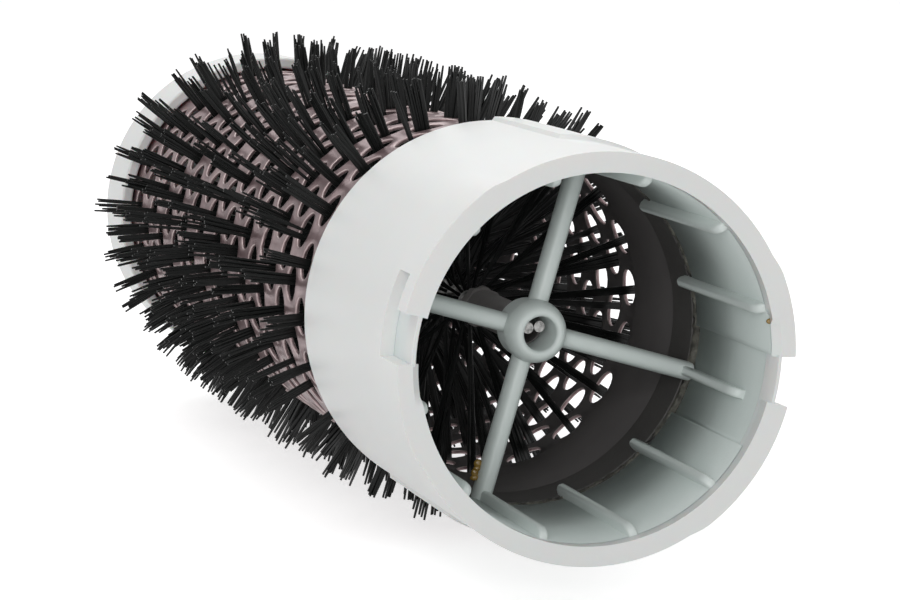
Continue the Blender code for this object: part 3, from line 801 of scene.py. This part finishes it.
def makeWasher(look):
    build = bmesh.new()
    spinOutline(build, [(look["bore"], washerLow.y), (washerHigh.x, washerLow.y),
                        (washerHigh.x, washerHigh.y), (look["bore"], washerHigh.y)],
                look["steps"], True)
    piece = addPiece("tipWasher", build, [drawnSteel], "head", ["tip_washer"])
    roundEdges(piece, look["edge"])


makeEndCap(capSet)
makeCoolTip(tipSet)
makePin(pinSet)
makeWasher(washerSet)
print("far end made")

# Drops of adhesive left on the spokes and inside the rim: radius and y in mm, and degrees
dropSet = {"places": ((17.1, 20.6, 77.2), (16.7, 20.4, 77.5), (15.0, 20.6, -111.8),
                      (15.5, 20.5, -111.6), (16.0, 20.6, -111.7), (16.5, 20.4, -111.5),
                      (18.6, 1.1, 8.8)),
           "radius": 0.33 * mm, "sizes": (0.8, 1.2), "width": 1.3, "depth": 0.8,
           "heights": (0.8, 1.6), "subdivisions": 2}


def makeDrops(look):
    build = bmesh.new()
    for radius, y, degrees in look["places"]:
        size = look["radius"] * random.uniform(*look["sizes"])
        made = bmesh.ops.create_icosphere(build, subdivisions=look["subdivisions"],
                                          radius=size)["verts"]
        stretch = (look["width"], look["depth"], random.uniform(*look["heights"]))
        bmesh.ops.scale(build, verts=made, vec=stretch)
        bmesh.ops.translate(build, verts=made, vec=polar(radius * mm, y * mm, degrees))
    addPiece("adhesiveDrops", build, [amberGlue], "head")


makeDrops(dropSet)
print("drops made")

# Floor, light and camera
stageSet = {"floorSize": 6.0, "floorGap": 0.1 * mm, "floorColor": 0.80, "floorRoughness": 0.9,
            "lift": 0.62, "worldStrength": 0.42}
lampAim = Vector((0, 0.03, 0))
lampSet = {"keyLamp": {"place": (-0.20, 0.02, 0.48), "power": 0.78, "size": 0.35},
           "frontLamp": {"place": (-0.28, -0.56, 0.17), "power": 1.25, "size": 0.3},
           "fillLamp": {"place": (0.40, 0.05, 0.20), "power": 0.3, "size": 0.4},
           "backLamp": {"place": (0.1, 0.5, 0.4), "power": 0.7, "size": 0.4}}
# Degrees for the camera's turn, and rim radii for its distance and offsets
cameraSet = {"lens": 120.0, "sensor": 36.0, "clipStart": 0.01, "turn": 18.39, "down": 8.83,
             "distance": 14.239, "rightOf": 0.717, "below": 0.291}


def seenValue(nodes, links):  # 1 where a surface is seen, and 0 where it only lights others
    path = nodes.new("ShaderNodeLightPath")
    seen = path.outputs["Is Camera Ray"]
    for ray in ("Is Glossy Ray", "Is Transmission Ray"):
        either = nodes.new("ShaderNodeMath")
        either.operation = "MAXIMUM"
        links.new(seen, either.inputs[0])
        links.new(path.outputs[ray], either.inputs[1])
        seen = either.outputs["Value"]
    return seen


def makeFloor(look):
    build = bmesh.new()
    bmesh.ops.create_grid(build, x_segments=1, y_segments=1, size=look["floorSize"] / 2)
    bmesh.ops.translate(build, verts=build.verts, vec=(0, 0, cadLow.z - look["floorGap"]))
    mesh = bpy.data.meshes.new("floor")
    build.to_mesh(mesh)
    build.free()
    floor = bpy.data.objects.new("floor", mesh)
    bpy.context.collection.objects.link(floor)
    material = bpy.data.materials.new("floorWhite")
    material.use_nodes = True
    nodes, links = material.node_tree.nodes, material.node_tree.links
    shader = nodes["Principled BSDF"]
    shader.inputs["Base Color"].default_value = (*[look["floorColor"]] * 3, 1.0)
    shader.inputs["Roughness"].default_value = look["floorRoughness"]
    shader.inputs["Emission Color"].default_value = (1, 1, 1, 1)
    lift = nodes.new("ShaderNodeMath")
    lift.operation = "MULTIPLY"
    lift.inputs[1].default_value = look["lift"]
    links.new(seenValue(nodes, links), lift.inputs[0])
    links.new(lift.outputs["Value"], shader.inputs["Emission Strength"])
    mesh.materials.append(material)


def makeWorld(look):
    world = bpy.data.worlds.new("studio")
    bpy.context.scene.world = world
    world.use_nodes = True
    nodes, links = world.node_tree.nodes, world.node_tree.links
    background = nodes["Background"]
    background.inputs["Color"].default_value = (1, 1, 1, 1)
    level = nodes.new("ShaderNodeMapRange")
    level.inputs["To Min"].default_value = look["worldStrength"]
    level.inputs["To Max"].default_value = 1.0
    links.new(seenValue(nodes, links), level.inputs["Value"])
    links.new(level.outputs["Result"], background.inputs["Strength"])


def addLamp(name, look):
    data = bpy.data.lights.new(name, "AREA")
    data.energy = look["power"]
    data.size = look["size"]
    lamp = bpy.data.objects.new(name, data)
    lamp.location = look["place"]
    lamp.rotation_mode = "QUATERNION"
    lamp.rotation_quaternion = (lampAim - Vector(look["place"])).to_track_quat("-Z", "Y")
    bpy.context.collection.objects.link(lamp)


def makeCamera(look):
    turn, down = math.radians(look["turn"]), math.radians(look["down"])
    ahead = Vector((math.sin(turn) * math.cos(down), math.cos(turn) * math.cos(down),
                    -math.sin(down)))
    right = Vector((math.cos(turn), -math.sin(turn), 0))
    up = right.cross(ahead)
    data = bpy.data.cameras.new("photoCamera")
    data.lens = look["lens"]
    data.sensor_width = look["sensor"]
    data.clip_start = look["clipStart"]
    camera = bpy.data.objects.new("photoCamera", data)
    camera.location = -rimRadius * (right * look["rightOf"] - up * look["below"]
                                    + ahead * look["distance"])
    camera.rotation_mode = "QUATERNION"
    camera.rotation_quaternion = ahead.to_track_quat("-Z", "Y")
    bpy.context.collection.objects.link(camera)
    bpy.context.scene.camera = camera


makeFloor(stageSet)
makeWorld(stageSet)
for lampName, lampLook in lampSet.items():
    addLamp(lampName, lampLook)
makeCamera(cameraSet)
bpy.context.scene.view_settings.view_transform = "Standard"
print("stage made")

bpy.context.view_layer.update()
